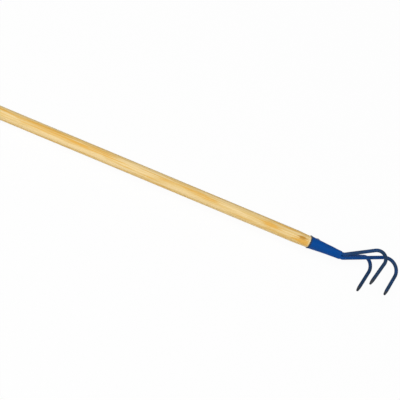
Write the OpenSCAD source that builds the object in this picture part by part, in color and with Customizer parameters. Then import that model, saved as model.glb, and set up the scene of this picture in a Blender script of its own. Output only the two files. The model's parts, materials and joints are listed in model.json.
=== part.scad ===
// Long handled cultivator claw: a wooden handle, a steel socket and three hooked tines.
// The tool is drawn along its handle: +X to the claw, +Y away from the points, +Z to the right tine,
// with zero at the centre of the socket's mouth. It is then laid on its left side, as it rests on a floor.

/* [Handle] */
// Whole length of the handle, with the tenon inside the socket
handle_length = 1370; // [900:10:1700]
// Diameter of the straight part
handle_d = 28; // [25:0.5:36]
// Rounding of the free end
butt_round = 10; // [2:0.5:12]
// Length of the taper down to the socket
neck_length = 30; // [20:5:150]
// Step from the wood out to the socket's cone
mouth_step = 1.1; // [0.1:0.05:1.1]

/* [Socket] */
// Length of the socket
socket_length = 73; // [64:1:110]
// Outer diameter that the socket's cone has at the mouth
mouth_d = 28; // [26:0.5:32]
// Thickness of the sheet
socket_wall = 1.2; // [1:0.1:2]
// Length of the round part that holds the tenon
seat_length = 46; // [30:1:50]
// Height of the lip round the mouth
lip_h = 0.7; // [0.3:0.1:1.5]
// Length over which the lip runs out
lip_length = 6; // [3:0.5:9]
// Bevel round the outer edge of the lip
mouth_bevel = 0.3; // [0.2:0.1:0.9]

/* [Tines] */
// Diameter of the rods
tine_d = 8; // [6:0.25:8.5]
// Angle by which the shanks rise from the handle's line
tine_rise = 23; // [5:0.5:35]
// Angle by which each outer tine leans away from the centre one
tine_splay = 25.5; // [12:0.5:35]
// Straight shank of the centre tine
centre_shank = 94; // [60:0.5:140]
// Hook radius of the centre tine
centre_hook_r = 27; // [18:0.5:40]
// Angle through which the centre tine hooks over
centre_hook_angle = 126; // [90:0.5:140]
// Length of the centre tine past its hook
centre_reach = 49; // [30:0.5:80]
// Straight shank of the outer tines
outer_shank = 65.5; // [40:0.5:100]
// Hook radius of the outer tines
outer_hook_r = 20; // [14:0.5:30]
// Angle through which the outer tines hook over
outer_hook_angle = 131; // [90:0.5:140]
// Length of the outer tines past their hooks
outer_reach = 55.5; // [30:0.5:80]
// Radius of the bends at the root of the tines
root_bend_r = 8; // [6:0.5:20]
// Straight length between the outer tines' two root bends
root_link = 1; // [0.5:0.5:6]
// Length of each drawn point
point_length = 9; // [6:0.5:24]
// Diameter at the rounded end of each point
point_d = 5.4; // [2:0.1:5.6]

/* [Fixings] */
// Length of the weld along the rods
weld_length = 4; // [2:0.5:6]
// Distance of the nail from the mouth
nail_x = 18; // [15:1:25]
// Diameter of the nail's shank
nail_d = 3.6; // [2.5:0.1:4.5]
// Length of the nail below its head
nail_length = 18; // [10:0.5:22]
// Diameter of the nail's head
nail_head_d = 8; // [6:0.25:10]
// Height of the nail's head
nail_head_h = 2; // [1.4:0.1:3]

/* [Hidden] */
// Gap between the tenon and the socket, and between the shoulder and the mouth
tenon_clearance = 0.1;
// Gap between neighbouring rods
rod_gap = 0.2;
// Gap between the rods and the socket
grip_clearance = 0.1;
// Extra thickness that bending leaves in a rod
bend_swell = 0.1;
// How far a straight rod runs into the bends at its ends
rod_lap = 0.5;
// Gap between the weld and the rods
weld_clearance = 0.08;
// Room for the rods where the socket starts to close round them
waist_room = 0.8;
// Gap between the tenon's end and the rods' ends
tenon_gap = 2;
// Gap round the nail, in the sheet and in the wood
nail_clearance = 0.05;
// Edge height of the nail's head
nail_rim_h = 0.6;
// Length of the nail's point
nail_point = 5;
// Weld standing past each rod at the weld's far end
weld_lip = 0.8;
// Step in from the socket's outside to the weld
weld_step = 0.2;
// How far a cut runs past the face that it opens
overrun = 1;

$fn = 64;

// Sides of the socket for each rod that it closes round
corner_sides = 16;
// Rings over the length where the socket closes
crimp_rings = 8;
// Directions of the rods from the middle of the bundle, from +Y towards +Z
centre_corner = 180;
right_corner = 60;
left_corner = 300;
corners = [right_corner, centre_corner, left_corner];
corner_angle = 360 / len(corners);

handle_r = handle_d / 2;
tine_r = tine_d / 2;
bend_d = tine_d + bend_swell;
point_r = point_d / 2;
mouth_r = mouth_d / 2;
lip_r = mouth_r + lip_h;
nail_head_r = nail_head_d / 2;
tenon_length = seat_length - tenon_gap;
butt_x = tenon_length - handle_length;

// The three rods lie side by side in a bundle, so their centres are the corners of a triangle
rod_pitch = tine_d + rod_gap;
rod_circle = rod_pitch / (2 * sin(corner_angle / 2));
grip_r = tine_r + grip_clearance + socket_wall;
waist_r = rod_circle + tine_r + waist_room + socket_wall;
stub_start = seat_length + rod_lap;
stub_end = socket_length + weld_length;
// The three rods rise from the same place, which the outer ones reach after their sideways bends
rise_start = root_bend_r * sin(tine_splay) + root_link * cos(tine_splay);

function cone_r(x) = mouth_r + (waist_r - mouth_r) * x / seat_length;

wood_colour = [0.89, 0.74, 0.47];
enamel_colour = [0.05, 0.27, 0.57];
zinc_colour = [0.62, 0.63, 0.65];

// Where the tool touches the floor.
// A touch is a ball [x, y, z, radius] that lies inside the tool and reaches its surface.

hook_steps = 60;
butt_steps = 72;
settle_steps = 8;

function shank(side) = side == 0 ? centre_shank : outer_shank;
function hook_r(side) = side == 0 ? centre_hook_r : outer_hook_r;
function hook_angle(side) = side == 0 ? centre_hook_angle : outer_hook_angle;
function tip_reach(side) = side == 0 ? centre_reach : outer_reach;
function corner(side) = side == 0 ? centre_corner : side > 0 ? right_corner : left_corner;
function splay(side) = side * tine_splay;

function forward(side) = [cos(splay(side)), 0, sin(splay(side))];
function in_plane(side, base, along, up) = base + along * forward(side) + [0, up, 0];
function rod_seat(side) = rod_circle * [0, cos(corner(side)), sin(corner(side))];
function side_step(side) = side * (root_bend_r * (1 - cos(tine_splay)) + root_link * sin(tine_splay));
function rise_end(side) = in_plane(side, rod_seat(side) + [stub_end + rise_start, 0, side_step(side)],
    root_bend_r * sin(tine_rise), root_bend_r * (1 - cos(tine_rise)));
function hook_centre(side) = in_plane(side, rise_end(side),
    shank(side) * cos(tine_rise) + hook_r(side) * sin(tine_rise),
    shank(side) * sin(tine_rise) - hook_r(side) * cos(tine_rise));
function hook_point(side, heading) = in_plane(side, hook_centre(side),
    -hook_r(side) * sin(heading), hook_r(side) * cos(heading));
function tip_heading(side) = tine_rise - hook_angle(side);
function past_hook(side, length) = in_plane(side, hook_point(side, tip_heading(side)),
    length * cos(tip_heading(side)), length * sin(tip_heading(side)));

function hook_touches(side) = [
    for (i = [0 : hook_steps]) concat(hook_point(side, tine_rise - hook_angle(side) * i / hook_steps), bend_d / 2)
];
function tip_touches(side) = [
    concat(past_hook(side, tip_reach(side) - point_r - point_length), tine_r),
    concat(past_hook(side, tip_reach(side) - point_r), point_r)
];
butt_touches = [
    for (i = [0 : butt_steps - 1])
        let (a = 360 * i / butt_steps, r = handle_r - butt_round)
            [butt_x + butt_round, r * cos(a), r * sin(a), butt_round]
];
all_touches = concat(
    [for (side = [-1 : 1]) each hook_touches(side)],
    [for (side = [-1 : 1]) each tip_touches(side)],
    butt_touches
);

function spot(touch) = [touch[0], touch[1], touch[2]];
function extent(touch, dir) = spot(touch) * dir + touch[3];
function most(touches, dir) = max([for (t = touches) extent(t, dir)]);
function contact(touches, dir) =
    let (limit = most(touches, dir), t = [for (t = touches) if (extent(t, dir) >= limit) t][0])
        spot(t) + t[3] * dir;
function unit(v) = v / norm(v);
function plane_down(a, b, c) = let (n = unit(cross(b - a, c - a))) n[2] < 0 ? n : -n;

// The tool comes to rest on the left tine's hook and point and on the rim of the butt
function settle(down, steps) = steps <= 0 ? down : settle(
    plane_down(contact(hook_touches(-1), down), contact(tip_touches(-1), down), contact(butt_touches, down)),
    steps - 1
);

down = settle([0, 0, -1], settle_steps);
up = -down;
ahead = unit([1, 0, 0] - up[0] * up);
across = cross(up, ahead);

function middle(dir) = (most(all_touches, dir) - most(all_touches, -dir)) / 2;

lay = [
    concat(ahead, -middle(ahead)),
    concat(across, -middle(across)),
    concat(up, most(all_touches, down)),
    [0, 0, 0, 1]
];

module laid() {
    multmatrix(lay) children();
}

// Turns +Z to +X, the way the handle runs
module lengthwise() {
    rotate([0, 90, 0]) children();
}

module at_rods() {
    for (c = corners)
        translate(rod_circle * [0, cos(c), sin(c)]) children();
}

// Handle

module butt_corner() {
    translate([handle_r - butt_round, butt_x + butt_round])
        intersection() {
            circle(r = butt_round);
            translate([0, -butt_round]) square(butt_round);
        }
}

module handle_outline() {
    shoulder_x = -tenon_clearance;
    tenon_inset = socket_wall + tenon_clearance;
    polygon([
        [0, butt_x],
        [handle_r - butt_round, butt_x],
        [handle_r, butt_x + butt_round],
        [handle_r, -neck_length],
        [mouth_r - mouth_step, shoulder_x],
        [cone_r(shoulder_x) - tenon_inset, shoulder_x],
        [cone_r(tenon_length) - tenon_inset, tenon_length],
        [0, tenon_length]
    ]);
    butt_corner();
}

module nail_hole() {
    translate([nail_x, cone_r(nail_x) - nail_length, 0])
        rotate([-90, 0, 0])
            cylinder(d = nail_d + 2 * nail_clearance, h = nail_length + nail_head_h);
}

module handle() {
    color(wood_colour)
        laid()
            difference() {
                lengthwise() rotate_extrude() handle_outline();
                nail_hole();
            }
}

// Socket

// One ring round the socket: a circle of radius r rolled round the triangle of the rods, drawn out by share
function socket_ring(x, r, share) = [
    for (c = corners, i = [0 : corner_sides - 1])
        let (a = c + corner_angle * ((i + 0.5) / corner_sides - 0.5))
            [
                x,
                share * rod_circle * cos(c) + r * cos(a),
                share * rod_circle * sin(c) + r * sin(a)
            ]
];

function crimp_share(i) = (1 - cos(180 * i / crimp_rings)) / 2;
function crimp_x(i) = seat_length + (socket_length - seat_length) * i / crimp_rings;
function crimp_ring(i, inset) = socket_ring(
    crimp_x(i),
    waist_r + (grip_r - waist_r) * crimp_share(i) - inset,
    crimp_share(i)
);

socket_rings = concat(
    [socket_ring(0, lip_r - mouth_bevel, 0)],
    [socket_ring(mouth_bevel, lip_r, 0)],
    [socket_ring(lip_length, cone_r(lip_length), 0)],
    [for (i = [0 : crimp_rings]) crimp_ring(i, 0)],
    [for (i = [crimp_rings : -1 : 0]) crimp_ring(i, socket_wall)],
    [socket_ring(0, mouth_r - socket_wall, 0)]
);

module ring_solid(rings) {
    count = len(rings);
    sides = len(rings[0]);
    polyhedron(
        points = [for (ring = rings) each ring],
        faces = [
            for (i = [0 : count - 1], j = [0 : sides - 1])
                let (
                    a = i * sides + j,
                    b = i * sides + (j + 1) % sides,
                    c = (i + 1) % count * sides + (j + 1) % sides,
                    d = (i + 1) % count * sides + j
                )
                    each [[a, b, c], [a, c, d]]
        ]
    );
}

module socket() {
    color(enamel_colour)
        laid()
            difference() {
                ring_solid(socket_rings);
                nail_hole();
            }
}

// Tines

// Draws a straight rod, then its children at the rod's end
module after_rod(length) {
    translate([-rod_lap, 0, 0])
        lengthwise() cylinder(d = tine_d, h = length + 2 * rod_lap);
    translate([length, 0, 0]) children();
}

// Draws a bend towards +Y, or towards -Y for a negative angle, then its children at the bend's end
module after_bend(radius, angle) {
    way = sign(angle);
    mirror([0, way < 0 ? 1 : 0, 0])
        translate([0, radius, 0])
            rotate([0, 0, -90])
                rotate_extrude(angle = abs(angle)) translate([radius, 0]) circle(d = bend_d);
    translate([radius * sin(abs(angle)), way * radius * (1 - cos(angle)), 0])
        rotate([0, 0, angle]) children();
}

module after_splay(side) {
    if (side == 0)
        children();
    else
        rotate([side * 90, 0, 0])
            after_bend(root_bend_r, tine_splay)
                after_rod(root_link)
                    rotate([-side * 90, 0, 0]) children();
}

module drawn_point(length) {
    cone_end = length - point_r;
    lengthwise()
        rotate_extrude() {
            polygon([
                [0, -rod_lap],
                [tine_r, -rod_lap],
                [tine_r, cone_end - point_length],
                [point_r, cone_end],
                [0, cone_end]
            ]);
            translate([0, cone_end])
                intersection() {
                    circle(r = point_r);
                    translate([0, -point_r]) square([point_r, point_d]);
                }
        }
}

module tine(side) {
    translate(rod_seat(side) + [stub_start, 0, 0])
        after_rod(stub_end - stub_start + (side == 0 ? rise_start : 0))
            after_splay(side)
                after_bend(root_bend_r, tine_rise)
                    after_rod(shank(side))
                        after_bend(hook_r(side), -hook_angle(side))
                            drawn_point(tip_reach(side));
}

module centre_tine() {
    color(enamel_colour) laid() tine(0);
}

module left_tine() {
    color(enamel_colour) laid() tine(-1);
}

module right_tine() {
    color(enamel_colour) laid() tine(1);
}

// Fixings

module root_weld() {
    color(enamel_colour)
        laid()
            translate([socket_length, 0, 0])
                difference() {
                    hull()
                        at_rods()
                            lengthwise()
                                cylinder(
                                    r1 = grip_r - weld_step,
                                    r2 = tine_r + weld_lip,
                                    h = weld_length,
                                    $fn = 32
                                );
                    translate([-overrun, 0, 0]) {
                        at_rods()
                            lengthwise()
                                cylinder(r = tine_r + weld_clearance, h = weld_length + 2 * overrun);
                        lengthwise() cylinder(r = rod_circle / 2, h = weld_length + 2 * overrun);
                    }
                }
}

module nail_head() {
    dome_h = nail_head_h - nail_rim_h;
    dome_r = (nail_head_r * nail_head_r + dome_h * dome_h) / (2 * dome_h);
    top = cone_r(nail_x) + nail_head_h;
    difference() {
        intersection() {
            translate([nail_x, 0, 0]) rotate([-90, 0, 0]) cylinder(d = nail_head_d, h = top + overrun);
            translate([nail_x, top - dome_r, 0]) sphere(r = dome_r);
        }
        lengthwise()
            cylinder(
                r1 = cone_r(0) + nail_clearance,
                r2 = cone_r(seat_length) + nail_clearance,
                h = seat_length
            );
    }
}

module socket_nail() {
    shank_end = cone_r(nail_x) - nail_length;
    color(zinc_colour)
        laid() {
            nail_head();
            translate([nail_x, shank_end, 0])
                rotate([-90, 0, 0]) {
                    cylinder(d1 = 0, d2 = nail_d, h = nail_point);
                    translate([0, 0, nail_point])
                        cylinder(d = nail_d, h = nail_length - nail_point + nail_rim_h);
                }
        }
}

handle();
socket();
centre_tine();
left_tine();
right_tine();
root_weld();
socket_nail();
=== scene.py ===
import json
from math import asin, cos, pi, radians, sin

import bmesh
import bpy
from mathutils import Euler, Matrix, Vector


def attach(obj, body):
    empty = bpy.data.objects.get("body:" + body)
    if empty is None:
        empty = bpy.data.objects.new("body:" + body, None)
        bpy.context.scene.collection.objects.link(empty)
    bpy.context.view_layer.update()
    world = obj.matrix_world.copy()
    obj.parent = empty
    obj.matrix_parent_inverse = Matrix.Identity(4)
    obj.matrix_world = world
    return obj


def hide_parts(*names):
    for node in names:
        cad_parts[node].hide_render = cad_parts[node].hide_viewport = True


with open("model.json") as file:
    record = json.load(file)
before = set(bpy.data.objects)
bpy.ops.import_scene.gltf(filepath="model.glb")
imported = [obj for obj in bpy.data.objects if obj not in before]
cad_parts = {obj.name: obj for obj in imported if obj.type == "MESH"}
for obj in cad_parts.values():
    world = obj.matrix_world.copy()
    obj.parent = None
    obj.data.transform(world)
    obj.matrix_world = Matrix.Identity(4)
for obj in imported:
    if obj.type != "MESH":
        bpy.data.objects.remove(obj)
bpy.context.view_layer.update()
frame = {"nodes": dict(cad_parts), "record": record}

# A long handled cultivator claw. Each piece is modelled along the tool, with +X to the claw, +Y away from
# the points, +Z to the right tine and zero at the centre of the socket's mouth. It is then laid on the floor
# as the CAD model lies. All sizes are in metres, and those that the CAD model has too are the same there.

FORWARD = Vector((1, 0, 0))
AWAY_FROM_POINTS = Vector((0, 1, 0))
RIGHTWARD = Vector((0, 0, 1))

# Rods, which lie side by side in a triangle
ROD_RADIUS = 0.004
ROD_GAP = 0.0002
ROD_CIRCLE = (2 * ROD_RADIUS + ROD_GAP) / (2 * sin(pi / 3))
CENTRE_CORNER = pi
RIGHT_CORNER = pi / 3
LEFT_CORNER = -pi / 3
ROD_SIDES = 40

# Socket
SOCKET_LENGTH = 0.073
SEAT_LENGTH = 0.046
SOCKET_WALL = 0.0012
MOUTH_RADIUS = 0.014
LIP_HEIGHT = 0.0007
LIP_LENGTH = 0.006
MOUTH_BEVEL = 0.0003
INNER_BEVEL = 0.0003
WAIST_ROOM = 0.0008
GRIP_CLEARANCE = 0.0001
WAIST_RADIUS = ROD_CIRCLE + ROD_RADIUS + WAIST_ROOM + SOCKET_WALL
GRIP_RADIUS = ROD_RADIUS + GRIP_CLEARANCE + SOCKET_WALL
CRIMP_STEPS = 8
SOCKET_SIDES = 96

# Handle
HANDLE_LENGTH = 1.370
HANDLE_RADIUS = 0.014
BUTT_ROUND = 0.010
BUTT_STEPS = 12
NECK_LENGTH = 0.030
MOUTH_STEP = 0.0011
TENON_CLEARANCE = 0.0001
TENON_GAP = 0.002
TENON_LENGTH = SEAT_LENGTH - TENON_GAP
BUTT_X = TENON_LENGTH - HANDLE_LENGTH
HANDLE_SIDES = 96

# Weld: its length, and how far each of its rings lies inside the socket's closed end
WELD_LENGTH = 0.004
BEAD_DROPS = (0.0003, 0.0001, 0.0002, 0.0004, 0.0007)
RIPPLE_SIZE = 0.002
RIPPLE_HEIGHT = 0.0006

# Tines
STUB_END_X = SOCKET_LENGTH + WELD_LENGTH
ROOT_BEND_RADIUS = 0.008
ROOT_BEND_STEPS = 8
ROOT_LINK = 0.001
RISE = radians(23)
SPLAY = radians(25.5)
RISE_START = ROOT_BEND_RADIUS * sin(SPLAY) + ROOT_LINK * cos(SPLAY)
HOOK_STEPS = 40
POINT_LENGTH = 0.009
POINT_RADIUS = 0.0027
POINT_STEPS = 5
POINT_FULLNESS = 1.25
TIP_STEPS = 6

# Length of the straight shank, radius and angle of the hook, and length past the hook
CENTRE_HOOK = (0.094, 0.027, radians(126), 0.049)
OUTER_HOOK = (0.0655, 0.020, radians(131), 0.0555)
# Side that each tine splays to, its corner of the triangle of rods, and the rest
TINES = {
    "centre_tine": (0, CENTRE_CORNER, *CENTRE_HOOK),
    "left_tine": (-1, LEFT_CORNER, *OUTER_HOOK),
    "right_tine": (1, RIGHT_CORNER, *OUTER_HOOK),
}

# Nail hole
NAIL_X = 0.018
NAIL_LENGTH = 0.018
NAIL_HOLE_RADIUS = 0.00185
NAIL_HOLE_SIDES = 32

# How the tool lies: the clip, at the middle of the handle's straight part, gives its line, and the tool is
# rolled about that line onto its left tine
CLIP = frame["record"]["mounts"][0]
CLIP_X = (BUTT_X + BUTT_ROUND - NECK_LENGTH) / 2
HANDLE_LINE = -Vector(CLIP["axis"])
MOUTH_PLACE = Vector(CLIP["pos_m"]) - HANDLE_LINE * CLIP_X
SLOPE = -asin(HANDLE_LINE.z)
ROLL = radians(7.65644)
LAID = Matrix.LocRotScale(MOUTH_PLACE, Euler((ROLL, SLOPE, 0)), None)

# Modelling

# Turns that make a new ring or cylinder face along the tool, or away from the points
FACE_X = (0, pi / 2, 0)
FACE_Y = (-pi / 2, 0, 0)
SMOOTH_ANGLE = radians(40)


def corner_direction(corner):
    return Vector((0, cos(corner), sin(corner)))


def cone_radius(x):
    """Outer radius of the socket's round part, without its lip."""
    return MOUTH_RADIUS + (WAIST_RADIUS - MOUTH_RADIUS) * x / SEAT_LENGTH


def tenon_radius(x):
    return cone_radius(x) - SOCKET_WALL - TENON_CLEARANCE


def begin_ring(place, radius, sides):
    """Starts a piece from a ring round the tool's length, in edit mode with the ring selected."""
    bpy.ops.object.select_all(action="DESELECT")
    bpy.ops.mesh.primitive_circle_add(vertices=sides, radius=radius, location=place, rotation=FACE_X)
    piece = bpy.context.object
    bpy.ops.object.transform_apply(location=True, rotation=True, scale=True)
    bpy.ops.object.mode_set(mode="EDIT")
    bpy.ops.mesh.select_all(action="SELECT")
    return piece


class Rod:
    """A round piece drawn out of a ring: run lengthens it, and bend turns it."""

    def __init__(self, place, radius, sides):
        self.place = Vector(place)
        self.heading = FORWARD.copy()
        self.radius = radius
        self.piece = begin_ring(self.place, radius, sides)

    def run(self, length, radius=None):
        step = self.heading * length
        bpy.ops.mesh.extrude_region_move(TRANSFORM_OT_translate={"value": step})
        self.place += step
        if radius:
            share = radius / self.radius
            bpy.ops.transform.resize(value=(share, share, share), center_override=self.place)
            self.radius = radius

    def bend(self, bend_radius, angle, side, steps):
        """Turns towards side, and gives back the direction that side has after the bend."""
        centre = self.place + side * bend_radius
        axis = self.heading.cross(side)
        bpy.ops.mesh.spin(steps=steps, angle=-angle, center=centre, axis=axis)
        turned = Matrix.Rotation(angle, 3, axis)
        self.place = centre + turned @ (self.place - centre)
        self.heading = turned @ self.heading
        return turned @ side

    def round_end(self, steps):
        """Draws the end in over a quarter circle, to a last small ring that close_up fills."""
        start = self.place.copy()
        radius = self.radius
        for i in range(1, steps):
            angle = pi / 2 * i / steps
            ahead = start + self.heading * radius * sin(angle)
            self.run((ahead - self.place).length, radius * cos(angle))


def pick_vertices(piece, chosen):
    mesh = bmesh.from_edit_mesh(piece.data)
    mesh.verts.ensure_lookup_table()
    for v in mesh.verts:
        v.select_set(False)
    for i in chosen:
        mesh.verts[i].select_set(True)
    mesh.select_flush_mode()
    mesh.select_flush(True)
    bmesh.update_edit_mesh(piece.data)


def empty_piece():
    """Starts a piece with nothing in it, and leaves it in edit mode."""
    bpy.ops.object.select_all(action="DESELECT")
    bpy.ops.mesh.primitive_plane_add()
    piece = bpy.context.object
    bpy.ops.object.mode_set(mode="EDIT")
    bpy.ops.mesh.select_all(action="SELECT")
    bpy.ops.mesh.delete(type="VERT")
    return piece


def spread_ring(piece, x, radius, share):
    """Adds a ring to the piece in edit mode, with each third moved out towards its rod by that share."""
    bpy.ops.mesh.select_all(action="DESELECT")
    centre = (x, 0, 0)
    half_side = pi / SOCKET_SIDES
    bpy.ops.mesh.primitive_circle_add(vertices=SOCKET_SIDES, radius=radius, location=centre, rotation=FACE_X)
    bpy.ops.transform.rotate(value=half_side, orient_axis="X", center_override=centre)
    mesh = bmesh.from_edit_mesh(piece.data)
    mesh.verts.index_update()
    places = {v.index: v.co.copy() for v in mesh.verts if v.select}
    thirds = {corner: [] for corner in (CENTRE_CORNER, RIGHT_CORNER, LEFT_CORNER)}
    for i, place in places.items():
        nearest = max(thirds, key=lambda corner: corner_direction(corner).dot(place))
        thirds[nearest].append(i)
    for corner, third in thirds.items():
        pick_vertices(piece, third)
        bpy.ops.transform.translate(value=corner_direction(corner) * ROD_CIRCLE * share)
    return list(places)


def bridge_rings(piece, rings):
    for a, b in zip(rings, rings[1:]):
        pick_vertices(piece, a + b)
        bpy.ops.mesh.bridge_edge_loops()


def close_up(piece):
    """Closes the mesh, turns its faces outwards and leaves edit mode."""
    bpy.ops.mesh.select_all(action="SELECT")
    bpy.ops.mesh.fill_holes(sides=0)
    bpy.ops.mesh.normals_make_consistent(inside=False)
    bpy.ops.object.mode_set(mode="OBJECT")


def apply_modifier(piece, modifier):
    bpy.context.view_layer.objects.active = piece
    bpy.ops.object.modifier_apply(modifier=modifier.name)


def drill_nail_hole(piece):
    depth = NAIL_LENGTH + MOUTH_RADIUS
    middle = cone_radius(NAIL_X) - NAIL_LENGTH + depth / 2
    bpy.ops.object.select_all(action="DESELECT")
    bpy.ops.mesh.primitive_cylinder_add(
        vertices=NAIL_HOLE_SIDES,
        radius=NAIL_HOLE_RADIUS,
        depth=depth,
        location=(NAIL_X, middle, 0),
        rotation=FACE_Y,
    )
    drill = bpy.context.object
    cut = piece.modifiers.new("nail_hole", "BOOLEAN")
    cut.object = drill
    cut.operation = "DIFFERENCE"
    apply_modifier(piece, cut)
    bpy.data.objects.remove(drill)


def lay_down(piece):
    """Lays the piece where the CAD model has it, with its place in its mesh."""
    piece.matrix_world = LAID
    bpy.ops.object.select_all(action="DESELECT")
    piece.select_set(True)
    bpy.context.view_layer.objects.active = piece
    bpy.ops.object.transform_apply(location=True, rotation=True, scale=True)
    bpy.ops.object.shade_smooth_by_angle(angle=SMOOTH_ANGLE)


def hand_over(piece, name, finish, node):
    lay_down(piece)
    piece.name = name
    piece.data.name = name
    piece.data.materials.clear()
    piece.data.materials.append(finish)
    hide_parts(node)
    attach(piece, "root")


def turned_handle():
    """From the rounded butt along the straight part and the neck to the tenon inside the socket."""
    handle = Rod((BUTT_X, 0, 0), HANDLE_RADIUS - BUTT_ROUND, HANDLE_SIDES)
    for i in range(1, BUTT_STEPS + 1):
        angle = pi / 2 * i / BUTT_STEPS
        x = BUTT_X + BUTT_ROUND * (1 - cos(angle))
        handle.run(x - handle.place.x, HANDLE_RADIUS - BUTT_ROUND * (1 - sin(angle)))
    handle.run(-NECK_LENGTH - handle.place.x)
    handle.run(NECK_LENGTH - TENON_CLEARANCE, MOUTH_RADIUS - MOUTH_STEP)
    handle.run(0, tenon_radius(0))
    handle.run(TENON_LENGTH + TENON_CLEARANCE, tenon_radius(TENON_LENGTH))
    close_up(handle.piece)
    drill_nail_hole(handle.piece)
    return handle.piece


def crimped_socket():
    """Rings from the mouth along the outside to the closed end, and back along the inside."""
    piece = empty_piece()

    def crimp(i, inset):
        share = (1 - cos(pi * i / CRIMP_STEPS)) / 2
        x = SEAT_LENGTH + (SOCKET_LENGTH - SEAT_LENGTH) * i / CRIMP_STEPS
        return spread_ring(piece, x, WAIST_RADIUS + (GRIP_RADIUS - WAIST_RADIUS) * share - inset, share)

    rings = [
        spread_ring(piece, 0, MOUTH_RADIUS + LIP_HEIGHT - MOUTH_BEVEL, 0),
        spread_ring(piece, MOUTH_BEVEL, MOUTH_RADIUS + LIP_HEIGHT, 0),
        spread_ring(piece, LIP_LENGTH, cone_radius(LIP_LENGTH), 0),
    ]
    rings += [crimp(i, 0) for i in range(CRIMP_STEPS + 1)]
    rings += [spread_ring(piece, SOCKET_LENGTH - INNER_BEVEL, GRIP_RADIUS - SOCKET_WALL, 1)]
    rings += [crimp(i, SOCKET_WALL) for i in range(CRIMP_STEPS - 1, -1, -1)]
    rings += [spread_ring(piece, INNER_BEVEL, MOUTH_RADIUS - SOCKET_WALL, 0)]
    bridge_rings(piece, rings + rings[:1])
    close_up(piece)
    drill_nail_hole(piece)
    return piece


def hooked_tine(side, corner, shank, hook_radius, hook_angle, reach):
    """One rod from the socket to its point. It rises and hooks over. An outer one first bends sideways."""
    start = FORWARD * SEAT_LENGTH + corner_direction(corner) * ROD_CIRCLE
    stub = STUB_END_X - SEAT_LENGTH
    rod = Rod(start, ROD_RADIUS, ROD_SIDES)
    if side:
        rod.run(stub)
        rod.bend(ROOT_BEND_RADIUS, SPLAY, RIGHTWARD * side, ROOT_BEND_STEPS)
        rod.run(ROOT_LINK)
    else:
        rod.run(stub + RISE_START)
    up = rod.bend(ROOT_BEND_RADIUS, RISE, AWAY_FROM_POINTS, ROOT_BEND_STEPS)
    rod.run(shank)
    rod.bend(hook_radius, hook_angle, -up, HOOK_STEPS)
    rod.run(reach - POINT_RADIUS - POINT_LENGTH)
    for i in range(1, POINT_STEPS + 1):
        drawn = (i / POINT_STEPS) ** POINT_FULLNESS
        rod.run(POINT_LENGTH / POINT_STEPS, ROD_RADIUS + (POINT_RADIUS - ROD_RADIUS) * drawn)
    rod.round_end(TIP_STEPS)
    close_up(rod.piece)
    return rod.piece


def root_bead():
    piece = empty_piece()
    rings = []
    for i, drop in enumerate(BEAD_DROPS):
        x = SOCKET_LENGTH + WELD_LENGTH * i / (len(BEAD_DROPS) - 1)
        rings.append(spread_ring(piece, x, GRIP_RADIUS - drop, 1))
    bridge_rings(piece, rings)
    close_up(piece)
    ripples = bpy.data.textures.new("weld_ripples", "CLOUDS")
    ripples.noise_scale = RIPPLE_SIZE
    lumps = piece.modifiers.new("lumps", "DISPLACE")
    lumps.texture = ripples
    lumps.strength = RIPPLE_HEIGHT
    apply_modifier(piece, lumps)
    return piece


# Finishes

WHITE = (1, 1, 1, 1)
# Levels that most of a noise lies between
NOISE_LOW = 0.3
NOISE_HIGH = 0.7


def put(tree, kind, inputs=None, **settings):
    """Adds a node with these settings, and gives its inputs a value or a link."""
    made = tree.nodes.new(kind)
    for key, value in settings.items():
        setattr(made, key, value)
    for key, value in (inputs or {}).items():
        if isinstance(value, bpy.types.NodeSocket):
            tree.links.new(value, made.inputs[key])
        else:
            made.inputs[key].default_value = value
    return made


def put_group(tree, group, inputs):
    return put(tree, "ShaderNodeGroup", inputs, node_tree=group).outputs


def work_out(tree, operation, a, b=0):
    return put(tree, "ShaderNodeMath", {0: a, 1: b}, operation=operation).outputs[0]


def multiply(tree, a, b):
    return work_out(tree, "MULTIPLY", a, b)


def add_up(tree, *values):
    total = values[0]
    for value in values[1:]:
        total = work_out(tree, "ADD", total, value)
    return total


def vector_math(tree, operation, a, b=(0, 0, 0)):
    return put(tree, "ShaderNodeVectorMath", {0: a, 1: b}, operation=operation).outputs


def split(tree, place):
    return put(tree, "ShaderNodeSeparateXYZ", {0: place}).outputs


def fade(tree, value, start, end, low=0, high=1):
    """Goes from low to high, smoothly, while the value goes from start to end."""
    made = put(
        tree,
        "ShaderNodeMapRange",
        {"Value": value, "From Min": start, "From Max": end, "To Min": low, "To Max": high},
        interpolation_type="SMOOTHSTEP",
    )
    return made.outputs[0]


def blend(tree, share, a, b):
    return put(tree, "ShaderNodeMix", {0: share, 6: a, 7: b}, data_type="RGBA").outputs[2]


def noise(tree, place, along, across, detail=2):
    """Noise with this many lumps to the metre, along the tool and across it."""
    stretched = put(tree, "ShaderNodeMapping", {"Vector": place, "Scale": (along, across, across)})
    made = put(tree, "ShaderNodeTexNoise", {"Vector": stretched.outputs[0], "Scale": 1, "Detail": detail})
    return made.outputs[0]


def vary(tree, lumps, low, high):
    """Turns a noise into a value that wanders from low to high."""
    return fade(tree, lumps, NOISE_LOW, NOISE_HIGH, low, high)


def new_finish(name):
    finish = bpy.data.materials.new(name)
    finish.use_nodes = True
    finish.node_tree.nodes.clear()
    return finish


def shade(tree, inputs):
    shader = put(tree, "ShaderNodeBsdfPrincipled", inputs)
    put(tree, "ShaderNodeOutputMaterial", {"Surface": shader.outputs[0]})


def along_tool(tree, turn=0):
    """Coordinates along the tool, turned about its length, from the piece's own coordinates on the floor."""
    here = put(tree, "ShaderNodeTexCoord")
    turned = put(
        tree,
        "ShaderNodeMapping",
        {"Vector": here.outputs["Object"], "Location": MOUTH_PLACE, "Rotation": (ROLL + turn, SLOPE, 0)},
        vector_type="TEXTURE",
    )
    return turned.outputs[0]


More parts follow.
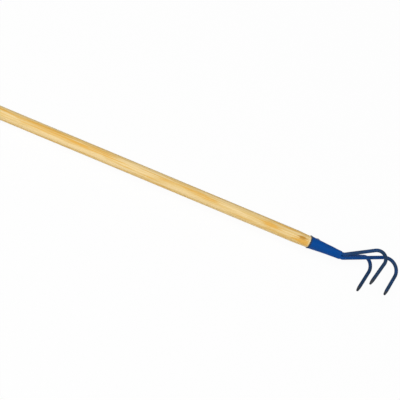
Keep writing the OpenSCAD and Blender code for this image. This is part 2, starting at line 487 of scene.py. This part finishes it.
def new_group(name, inputs, outputs):
    group = bpy.data.node_groups.new(name, "ShaderNodeTree")
    for way, sockets in (("INPUT", inputs), ("OUTPUT", outputs)):
        for socket, kind in sockets.items():
            group.interface.new_socket(socket, in_out=way, socket_type="NodeSocket" + kind)
    return group, put(group, "NodeGroupInput").outputs, put(group, "NodeGroupOutput").inputs


# Shares of its reach at which a mark on the handle starts to show and is full, and how far its edge is frayed
MARK_EDGE_SHARE = 1.15
MARK_FULL_SHARE = 0.35
MARK_FRAY_SHARE = 0.55

MOTTLE_DEPTH = 0.12


def grain_and_light_mark_group():
    """A long soft mark on the handle, frayed along the grain, for the knot, for streaks in the wood and for
    painted light.
    """
    group, given, result = new_group(
        "grain_and_light_mark", {"Place": "Vector", "Centre": "Vector", "Reach": "Vector"}, {"Mark": "Float"}
    )
    off = vector_math(group, "SUBTRACT", given["Place"], given["Centre"])[0]
    share = vector_math(group, "DIVIDE", off, given["Reach"])[0]
    distance = vector_math(group, "LENGTH", share)["Value"]
    fray = noise(group, given["Place"], along=12, across=480, detail=3)
    ragged = add_up(group, distance, vary(group, fray, -MARK_FRAY_SHARE, MARK_FRAY_SHARE))
    group.links.new(fade(group, ragged, MARK_EDGE_SHARE, MARK_FULL_SHARE), result["Mark"])
    return group


def handling_wear_group():
    """Scuffs from use, and smudges that change the gloss."""
    group, given, result = new_group(
        "handling_wear", {"Place": "Vector"}, {"Scuffs": "Float", "Smudges": "Float"}
    )
    scratches = noise(group, given["Place"], along=260, across=1500, detail=4)
    patches = noise(group, given["Place"], along=70, across=90)
    scuffs = multiply(group, fade(group, scratches, 0.58, 0.68), fade(group, patches, 0.48, 0.64))
    smudges = noise(group, given["Place"], along=110, across=140, detail=3)
    group.links.new(scuffs, result["Scuffs"])
    group.links.new(smudges, result["Smudges"])
    return group


def enamel_coat_group():
    """Enamel that goes from bright to deep blue as it darkens, mottled at random, with a finely dimpled skin.
    On the right tine the darkening is painted shade.
    """
    group, given, result = new_group(
        "enamel_coat",
        {"Place": "Vector", "Bright": "Color", "Deep": "Color", "Depth": "Float"},
        {"Colour": "Color", "Skin": "Float"},
    )
    mottle = noise(group, given["Place"], along=45, across=60, detail=3)
    depth = add_up(group, given["Depth"], vary(group, mottle, -MOTTLE_DEPTH, MOTTLE_DEPTH))
    skin = noise(group, given["Place"], along=700, across=700, detail=1)
    group.links.new(blend(group, depth, given["Bright"], given["Deep"]), result["Colour"])
    group.links.new(skin, result["Skin"])
    return group


grain_and_light_mark = grain_and_light_mark_group()
handling_wear = handling_wear_group()
enamel_coat = enamel_coat_group()

# Wood

PALE_WOOD = (0.95, 0.71, 0.35, 1)
GOLDEN_WOOD = (0.85, 0.60, 0.23, 1)
OCHRE_WOOD = (0.85, 0.47, 0.09, 1)
BROWN_WOOD = (0.56, 0.27, 0.03, 1)
GRAIN_RELIEF = 0.0003

# Turn of the wood's layers about the handle
GRAIN_TURN = radians(20)
# The pith of the tree, beside the handle and not quite along it
PITH_PLACE = (0, 0.003, 0.034)
PITH_TURN = (0, radians(1.6), radians(0.9))
RING_WIDTH = 0.0042
RING_SWAY = 0.003

# Marks on the handle: place along and across the handle, half length, half width, and how much darker. The
# darker ones are streaks in the wood and partly painted shade; the paler ones are a painted highlight.
GRAIN_AND_LIGHT_MARKS = (
    (-0.590, 0.0065, 0.160, 0.0055, 0.45),
    (-0.500, 0.0050, 0.085, 0.0055, 0.55),
    (-0.640, -0.0050, 0.150, 0.0045, -0.30),
    (-0.480, -0.0045, 0.130, 0.0050, -0.45),
    (-0.400, -0.0010, 0.100, 0.0060, -0.40),
    (-0.305, 0.0045, 0.095, 0.0060, 0.65),
    (-0.190, -0.0030, 0.080, 0.0060, 0.30),
    (-0.160, -0.0080, 0.050, 0.0040, 0.30),
    (-0.095, 0.0020, 0.030, 0.0055, 0.70),
    (-0.075, -0.0075, 0.060, 0.0040, 0.40),
    (-0.060, 0.0090, 0.040, 0.0030, 0.40),
    (-0.014, -0.0035, 0.030, 0.0080, 1.00),
)
KNOT = (-0.0195, 0.0042, 0.0115, 0.0062)

# Where the wood pales next to the socket, and how far round the edge of the butt its end grain shows
PALE_STRIP = (-0.0050, -0.0020)
END_GRAIN = (BUTT_X + 0.0030, BUTT_X + 0.0005)

# How much darker or paler each of these makes the wood
BAND_TONE = 0.58
RING_TONE = 0.2
STREAK_TONE = 0.24
FIBRE_TONE = 0.12
PALE_STRIP_TONE = -0.7
END_RING_TONES = (0.1, 0.7)
KNOT_SHARE = 0.95
PORE_SHARE = 0.35


def late_wood(tree, place):
    """The dark part of each growth ring, which deepens slowly and ends at once."""
    pith = {"Vector": place, "Location": PITH_PLACE, "Rotation": PITH_TURN}
    from_pith = put(tree, "ShaderNodeMapping", pith).outputs[0]
    sideways = vector_math(tree, "MULTIPLY", from_pith, (0, 1, 1))[0]
    distance = vector_math(tree, "LENGTH", sideways)["Value"]
    lumps = noise(tree, place, along=5, across=28, detail=3)
    sway = fade(tree, lumps, 0.2, 0.8, -RING_SWAY, RING_SWAY)
    rings = work_out(tree, "DIVIDE", add_up(tree, distance, sway), RING_WIDTH)
    through_ring = work_out(tree, "FRACT", rings)
    return multiply(tree, fade(tree, through_ring, 0.1, 0.85), fade(tree, through_ring, 1, 0.9))


def grain_and_light_mark_at(tree, place, x, across, half_length, half_width):
    spot = {"Place": place, "Centre": (x, across, 0), "Reach": (half_length, half_width, 1)}
    return put_group(tree, grain_and_light_mark, spot)["Mark"]


def wood_finish():
    """Wood whose tone goes from pale to ochre with its rings, bands, streaks, fibres and marks, of which the
    paler are a painted highlight and the darker partly painted shade.
    """
    finish = new_finish("lacquered_wood")
    tree = finish.node_tree
    place = along_tool(tree, GRAIN_TURN)
    x = split(tree, place)["X"]
    rings = late_wood(tree, place)
    bands = noise(tree, place, along=2.2, across=90)
    streaks = noise(tree, place, along=7, across=330, detail=3)
    fibres = noise(tree, place, along=22, across=1100, detail=4)
    pores = noise(tree, place, along=70, across=2300, detail=1)
    # The paler marks paint a highlight, and the darker ones are streaks that are partly painted shade
    marks = [multiply(tree, grain_and_light_mark_at(tree, place, *mark), darker) for *mark, darker in GRAIN_AND_LIGHT_MARKS]
    knot = grain_and_light_mark_at(tree, place, *KNOT)

    tone = add_up(
        tree,
        fade(tree, bands, 0.32, 0.68, 0, BAND_TONE),
        multiply(tree, rings, RING_TONE),
        vary(tree, streaks, -STREAK_TONE, STREAK_TONE),
        vary(tree, fibres, -FIBRE_TONE, FIBRE_TONE),
        *marks,
        fade(tree, x, *PALE_STRIP, 0, PALE_STRIP_TONE),
        multiply(tree, fade(tree, x, *END_GRAIN), fade(tree, rings, 0, 1, *END_RING_TONES)),
    )
    colour = blend(tree, fade(tree, tone, 0, 0.55), PALE_WOOD, GOLDEN_WOOD)
    colour = blend(tree, fade(tree, tone, 0.5, 1), colour, OCHRE_WOOD)
    colour = blend(tree, multiply(tree, knot, KNOT_SHARE), colour, BROWN_WOOD)
    colour = blend(tree, fade(tree, pores, 0.66, 0.76, 0, PORE_SHARE), colour, BROWN_WOOD)

    relief = {"Height": fibres, "Strength": 0.12, "Distance": GRAIN_RELIEF}
    raised_grain = put(tree, "ShaderNodeBump", relief)
    shade(
        tree,
        {
            "Base Color": colour,
            "Roughness": vary(tree, fibres, 0.5, 0.62),
            "Specular IOR Level": 0.25,
            "Normal": raised_grain.outputs[0],
        },
    )
    return finish


# Enamel

BRIGHT_BLUE = (0.0012, 0.072, 0.33, 1)
DEEP_BLUE = (0.014, 0.041, 0.096, 1)
SCUFFED_BLUE = (0.02, 0.11, 0.36, 1)
# Painted shade for the dark line along the edge of the socket's mouth
MOUTH_SHADE_BLUE = (0.022, 0.048, 0.090, 1)
WORN_STEEL = (0.034, 0.040, 0.046, 1)
SCUFF_SHARE = 0.6
SKIN_RELIEF = 0.0002

# Where the enamel changes: along the tool from the mouth, away from the points, and to the right
# This pair: where the painted shade along the mouth's edge starts, and where it is full
MOUTH_SHADE_X = (0.0054, 0.0022)
ROOT_X = (0.072, 0.095)
OUTER_HOOK_X = (0.125, 0.150)
CENTRE_HOOK_X = (0.168, 0.188)
POINTWARD_Y = (0.034, 0.005)
WORN_Y = (-0.030, -0.041)
# This pair: where the painted shade along the right tine starts, and where it is full
RIGHT_TINE_Z = (0.003, 0.010)
CHIP_LENGTH = 0.005

# How dark the enamel is in each place, from bright at zero to dark at one; on the right tine this is painted
# shade
SOCKET_DEPTH = 0.05
ROOT_DARKENING = (0.1, 0.36)
POINTWARD_DARKENING = 0.58
CENTRE_HOOK_DARKENING = 0.48
# Painted shade along the right tine
RIGHT_TINE_SHADE = 0.45

# How much painted shade shows at the mouth's edge, and how much worn steel at the points
END_SHARE = 0.9


def enamel(tree, place, depth, end, end_colour):
    """Enamel darkened by this much, scuffed and smudged, that gives way to another colour at one end: painted
    shade at the socket's mouth, and worn steel at the points of the tines.
    """
    dip = {"Place": place, "Bright": BRIGHT_BLUE, "Deep": DEEP_BLUE, "Depth": depth}
    coat = put_group(tree, enamel_coat, dip)
    wear = put_group(tree, handling_wear, {"Place": place})
    colour = blend(tree, multiply(tree, wear["Scuffs"], SCUFF_SHARE), coat["Colour"], SCUFFED_BLUE)
    colour = blend(tree, end, colour, end_colour)
    relief = {"Height": coat["Skin"], "Strength": 0.15, "Distance": SKIN_RELIEF}
    skin = put(tree, "ShaderNodeBump", relief)
    shade(
        tree,
        {
            "Base Color": colour,
            "Roughness": vary(tree, wear["Smudges"], 0.4, 0.56),
            "Specular IOR Level": 0.08,
            "Normal": skin.outputs[0],
        },
    )


def socket_enamel():
    """Enamel that is thin on the socket, with a dark line of painted shade along the edge of the mouth."""
    finish = new_finish("blue_enamel")
    tree = finish.node_tree
    place = along_tool(tree)
    # A dark line of painted shade along the edge of the mouth
    painted_mouth_shade = fade(tree, split(tree, place)["X"], *MOUTH_SHADE_X, 0, END_SHARE)
    enamel(tree, place, SOCKET_DEPTH, painted_mouth_shade, MOUTH_SHADE_BLUE)
    return finish


def tine_enamel():
    """Enamel that darkens from the root on and towards the hooks and points, with painted shade along the
    right tine, and is worn off the points.
    """
    finish = new_finish("dipped_blue_enamel")
    tree = finish.node_tree
    place = along_tool(tree)
    apart = split(tree, place)
    hooks = fade(tree, apart["X"], *OUTER_HOOK_X)
    pointward = multiply(tree, hooks, fade(tree, apart["Y"], *POINTWARD_Y, 0, POINTWARD_DARKENING))
    centre_hook = fade(tree, apart["X"], *CENTRE_HOOK_X, 0, CENTRE_HOOK_DARKENING)
    depth = add_up(
        tree,
        work_out(tree, "MAXIMUM", pointward, centre_hook),
        fade(tree, apart["X"], *ROOT_X, *ROOT_DARKENING),
        # Painted shade along the right tine
        fade(tree, apart["Z"], *RIGHT_TINE_Z, 0, RIGHT_TINE_SHADE),
    )
    chips = noise(tree, place, along=260, across=260, detail=3)
    ragged = add_up(tree, apart["Y"], vary(tree, chips, -CHIP_LENGTH, CHIP_LENGTH))
    worn_points = fade(tree, ragged, *WORN_Y, 0, END_SHARE)
    enamel(tree, place, depth, worn_points, WORN_STEEL)
    return finish


# Zinc

DARK_ZINC = (0.12, 0.13, 0.15, 1)
LIGHT_ZINC = (0.22, 0.23, 0.25, 1)
RUST = (0.10, 0.07, 0.05, 1)


def nail_zinc():
    """Spangled zinc, with a little rust where it is scuffed."""
    finish = new_finish("zinc_steel")
    tree = finish.node_tree
    place = along_tool(tree)
    wear = put_group(tree, handling_wear, {"Place": place})
    spangle = noise(tree, place, along=900, across=900, detail=1)
    colour = blend(tree, fade(tree, spangle, 0.35, 0.65), DARK_ZINC, LIGHT_ZINC)
    colour = blend(tree, multiply(tree, wear["Scuffs"], SCUFF_SHARE), colour, RUST)
    roughness = vary(tree, wear["Smudges"], 0.28, 0.48)
    shade(tree, {"Base Color": colour, "Metallic": 1, "Roughness": roughness})
    return finish


# Pieces

blue = socket_enamel()
dipped_blue = tine_enamel()

hand_over(turned_handle(), "turned_handle", wood_finish(), "handle")
hand_over(crimped_socket(), "crimped_socket", blue, "socket")
for tine, shape in TINES.items():
    hand_over(hooked_tine(*shape), "hooked_" + tine, dipped_blue, tine)
hand_over(root_bead(), "root_bead", blue, "root_weld")

nail = frame["nodes"]["socket_nail"]
nail.data.materials.clear()
nail.data.materials.append(nail_zinc())

# Camera, light and floor

CAMERA_PLACE = (-1.15163, -2.60976, 5.18073)
CAMERA_TURN = (radians(20.86394), radians(-22.25562), radians(15.71798))
CAMERA_LENS = 252.64
CAMERA_SENSOR = 36
CAMERA_SIGHT = 50

FLOOR_SIZE = 60
FLOOR_DROP = 0.0002
FLOOR_GREY = (0.9, 0.9, 0.9, 1)
FLOOR_WHITE_SHARE = 0.95

LAMP_AIM = Vector((0.45, 0, 0.04))
LAMP_WAY = Vector((-0.225, -0.293, 0.929))
LAMP_DISTANCE = 5
LAMP_SIZE = 3.5
LAMP_WATTS = 229
SOFT_LIGHT = 0.12


def seen_directly(tree):
    """One for rays from the camera, and for those that show the background in gloss or through glass."""
    path = put(tree, "ShaderNodeLightPath").outputs
    seen = add_up(tree, path["Is Camera Ray"], path["Is Glossy Ray"], path["Is Transmission Ray"])
    return work_out(tree, "MINIMUM", seen, 1)


def place_camera(scene):
    data = bpy.data.cameras.new("camera")
    data.sensor_width = CAMERA_SENSOR
    data.lens = CAMERA_LENS
    data.clip_end = CAMERA_SIGHT
    camera = bpy.data.objects.new("camera", data)
    camera.location = CAMERA_PLACE
    camera.rotation_euler = CAMERA_TURN
    scene.collection.objects.link(camera)
    scene.camera = camera


def lay_floor():
    """A floor that the camera sees as white, and that keeps a little of the tool's shadow."""
    bpy.ops.object.select_all(action="DESELECT")
    bpy.ops.mesh.primitive_plane_add(size=FLOOR_SIZE, location=(0, 0, -FLOOR_DROP))
    floor = bpy.context.object
    floor.name = "floor"
    finish = new_finish("white_floor")
    tree = finish.node_tree
    paper = put(tree, "ShaderNodeBsdfDiffuse", {"Color": FLOOR_GREY})
    white = put(tree, "ShaderNodeEmission", {"Color": WHITE, "Strength": 1})
    share = multiply(tree, seen_directly(tree), FLOOR_WHITE_SHARE)
    surface = put(tree, "ShaderNodeMixShader", {0: share, 1: paper.outputs[0], 2: white.outputs[0]})
    put(tree, "ShaderNodeOutputMaterial", {"Surface": surface.outputs[0]})
    floor.data.materials.append(finish)


def hang_lamp(scene):
    data = bpy.data.lights.new("soft_box", "AREA")
    data.size = LAMP_SIZE
    data.energy = LAMP_WATTS
    lamp = bpy.data.objects.new("soft_box", data)
    lamp.location = LAMP_AIM + LAMP_WAY * LAMP_DISTANCE
    lamp.rotation_euler = (-LAMP_WAY).to_track_quat("-Z", "Y").to_euler()
    scene.collection.objects.link(lamp)


def light_studio(scene):
    """A white backdrop that gives only a soft light."""
    scene.world = bpy.data.worlds.new("studio")
    scene.world.use_nodes = True
    tree = scene.world.node_tree
    tree.nodes.clear()
    light = put(tree, "ShaderNodeBackground", {"Color": WHITE, "Strength": SOFT_LIGHT})
    backdrop = put(tree, "ShaderNodeBackground", {"Color": WHITE, "Strength": 1})
    seen = seen_directly(tree)
    surface = put(tree, "ShaderNodeMixShader", {0: seen, 1: light.outputs[0], 2: backdrop.outputs[0]})
    put(tree, "ShaderNodeOutputWorld", {"Surface": surface.outputs[0]})


scene = bpy.context.scene
scene.view_settings.view_transform = "Standard"
place_camera(scene)
lay_floor()
hang_lamp(scene)
light_studio(scene)
